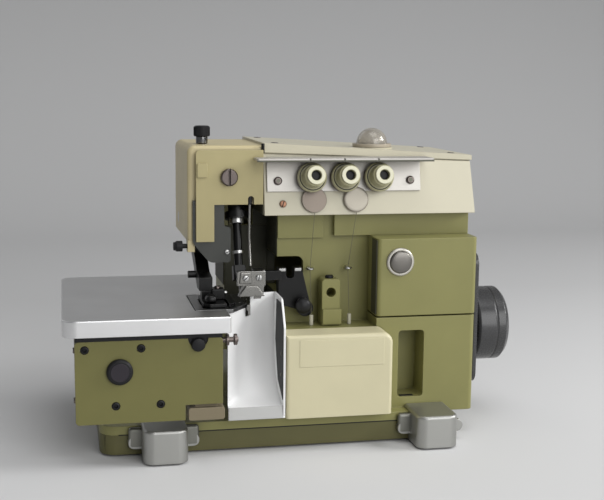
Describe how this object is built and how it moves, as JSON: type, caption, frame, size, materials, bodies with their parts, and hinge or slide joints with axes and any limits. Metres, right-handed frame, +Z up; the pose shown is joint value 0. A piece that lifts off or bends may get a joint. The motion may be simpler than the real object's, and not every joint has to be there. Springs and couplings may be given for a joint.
{
  "type": "overlock sewing machine",
  "caption": "Overlock sewing machine head with swing-out cloth plate, leaning needle bar, loopers, trimming knife, thread tension knobs, side handwheel and oil sight on a footed pan.",
  "frame": {"origin": "on the floor, at the centre of the four foot bolts, below the main shaft", "axes": "+X to the right along the main shaft, +Y away from the operator, +Z up"},
  "size_m": [0.4005, 0.228, 0.2675],
  "materials": {
    "cream_paint": "satin enamel",
    "green_paint": "satin enamel",
    "silver_paint": "satin aluminium paint",
    "bright_steel": "ground",
    "dark_steel": "blackened",
    "black_plastic": "fine grain",
    "knob_plastic": "moulded",
    "wheel_paint": "satin enamel",
    "beige_plastic": "moulded",
    "white_plastic": "moulded",
    "clear_plastic": "clear",
    "smoked_plastic": "smoked",
    "rubber": "plain",
    "thread": "twisted"
  },
  "bodies": {
    "machine_frame": {"base_pan": "green_paint", "foot_cups": "silver_paint", "foot_pads": "rubber", "frame_casting": "green_paint", "plain_bushes": "bright_steel", "belt_guard": "wheel_paint", "upper_housing": "cream_paint", "lid_gasket": "rubber", "top_lid": "cream_paint", "oil_sight_ring": "black_plastic", "oil_sight_dome": "clear_plastic", "head_cover": "cream_paint", "face_plate": "cream_paint", "face_plate_screw": "dark_steel", "eye_guard": "smoked_plastic", "guard_thumb_screw": "black_plastic", "needle_plate": "bright_steel", "lower_knife": "bright_steel", "presser_shaft": "bright_steel", "presser_spring": "bright_steel", "plate_hinge_post": "bright_steel", "waste_chute": "bright_steel", "cover_hinge": "bright_steel", "tension_bracket": "bright_steel", "bracket_screws": "bright_steel", "tension_discs": "bright_steel", "tension_springs": "bright_steel", "thread_eyelets": "bright_steel", "thread_tubes": "white_plastic", "looper_threads": "thread", "thread_guide_block": "green_paint", "side_door": "green_paint", "button_bezel": "bright_steel", "button_spring": "bright_steel"},
    "drive_shaft": {"main_shaft": "bright_steel", "handwheel": "wheel_paint"},
    "connecting_rod": {"needle_con_rod": "bright_steel"},
    "rocker": {"needle_rocker": "bright_steel"},
    "needle_carrier": {"needle_bar": "bright_steel", "needle_clamp": "dark_steel", "needle": "bright_steel"},
    "main_feed": {"main_feed_dog": "bright_steel"},
    "differential_feed": {"differential_feed_dog": "bright_steel"},
    "lower_looper_body": {"lower_looper": "bright_steel"},
    "upper_looper_body": {"upper_looper": "bright_steel"},
    "upper_knife_body": {"upper_knife_arm": "dark_steel", "upper_knife": "bright_steel"},
    "presser": {"presser_arm": "dark_steel", "presser_foot": "bright_steel"},
    "pressure_setting": {"pressure_screw": "black_plastic"},
    "swing_plate": {"cloth_plate": "bright_steel", "plate_skirt": "green_paint", "skirt_plug": "black_plastic", "plate_catch": "bright_steel"},
    "latch": {"plate_latch": "beige_plastic"},
    "front_cover": {"looper_cover": "cream_paint"},
    "button": {"push_button": "bright_steel"},
    "knob_left": {"tension_knob_left": "knob_plastic"},
    "knob_middle": {"tension_knob_middle": "knob_plastic"},
    "knob_right": {"tension_knob_right": "knob_plastic"}
  },
  "joints": [
    {"name": "handwheel_turn", "type": "hinge", "parent": "machine_frame", "child": "drive_shaft", "pos_m": [0, 0, 0.0835], "axis": [1, 0, 0], "continuous": true},
    {"name": "rod_big_end", "type": "hinge", "parent": "drive_shaft", "child": "connecting_rod", "pos_m": [0.036, 0.01, 0.0835], "axis": [1, 0, 0], "continuous": true},
    {"name": "rocker_swing", "type": "hinge", "parent": "machine_frame", "child": "rocker", "pos_m": [0, 0.024, 0.226], "axis": [1, 0, 0], "range_deg": [-12.4, 12.4]},
    {"name": "needle_stroke", "type": "slide", "parent": "machine_frame", "child": "needle_carrier", "axis": [0, 0.309, 0.9511], "range_m": [-0.0125, 0.0125]},
    {"name": "feed_stroke", "type": "slide", "parent": "machine_frame", "child": "main_feed", "axis": [0, 1, 0], "range_m": [-0.0025, 0.0025]},
    {"name": "differential_stroke", "type": "slide", "parent": "machine_frame", "child": "differential_feed", "axis": [0, 1, 0], "range_m": [-0.0025, 0.0025]},
    {"name": "lower_looper_swing", "type": "hinge", "parent": "machine_frame", "child": "lower_looper_body", "pos_m": [-0.024, -0.042, 0.062], "axis": [0, 1, 0], "range_deg": [-8, 8]},
    {"name": "upper_looper_swing", "type": "hinge", "parent": "machine_frame", "child": "upper_looper_body", "pos_m": [-0.014, -0.042, 0.084], "axis": [0, 1, 0], "range_deg": [-8, 8]},
    {"name": "knife_swing", "type": "hinge", "parent": "machine_frame", "child": "upper_knife_body", "pos_m": [0.017, -0.042, 0.112], "axis": [0, 1, 0], "range_deg": [-5, 5]},
    {"name": "presser_lift", "type": "hinge", "parent": "machine_frame", "child": "presser", "pos_m": [-0.071, 0.03, 0.184], "axis": [1, 0, 0], "range_deg": [-4, 0], "stiffness_Nm_per_rad": 2, "springref_deg": 8.59, "deforming": ["presser_spring"]},
    {"name": "pressure_turn", "type": "hinge", "parent": "machine_frame", "child": "pressure_setting", "pos_m": [-0.069, -0.022, 0.255], "axis": [0, 0, 1], "range_deg": [-720, 720]},
    {"name": "plate_swing", "type": "hinge", "parent": "machine_frame", "child": "swing_plate", "pos_m": [-0.084, 0.062, 0.112], "axis": [0, 0, 1], "range_deg": [-90, 0]},
    {"name": "latch_press", "type": "slide", "parent": "swing_plate", "child": "latch", "axis": [0, 0, -1], "range_m": [0, 0.003], "stiffness_N_per_m": 400, "springref_m": -0.003},
    {"name": "cover_tip", "type": "hinge", "parent": "machine_frame", "child": "front_cover", "pos_m": [0.037, -0.09, 0.033], "axis": [1, 0, 0], "range_deg": [0, 90]},
    {"name": "button_press", "type": "slide", "parent": "machine_frame", "child": "button", "axis": [0, 1, 0], "range_m": [0, 0.006], "stiffness_N_per_m": 300, "springref_m": -0.003, "deforming": ["button_spring"]},
    {"name": "tension_left_turn", "type": "hinge", "parent": "machine_frame", "child": "knob_left", "pos_m": [0.0196, -0.04708, 0.224], "axis": [0, -0.9817, 0.1906], "range_deg": [-720, 720]},
    {"name": "tension_middle_turn", "type": "hinge", "parent": "machine_frame", "child": "knob_middle", "pos_m": [0.0488, -0.04708, 0.224], "axis": [0, -0.9817, 0.1906], "range_deg": [-720, 720]},
    {"name": "tension_right_turn", "type": "hinge", "parent": "machine_frame", "child": "knob_right", "pos_m": [0.078, -0.04708, 0.224], "axis": [0, -0.9817, 0.1906], "range_deg": [-720, 720]}
  ],
  "couplings": [
    {"joint": "rod_big_end", "follows": "handwheel_turn", "ratio": -1},
    {"joint": "needle_stroke", "follows": "rocker_swing", "m_per_rad": -0.056},
    {"joint": "lower_looper_swing", "follows": "rocker_swing", "ratio": -0.64},
    {"joint": "upper_looper_swing", "follows": "rocker_swing", "ratio": 0.64},
    {"joint": "knife_swing", "follows": "rocker_swing", "ratio": -0.4},
    {"joint": "differential_stroke", "follows": "feed_stroke", "ratio": 1}
  ]
}
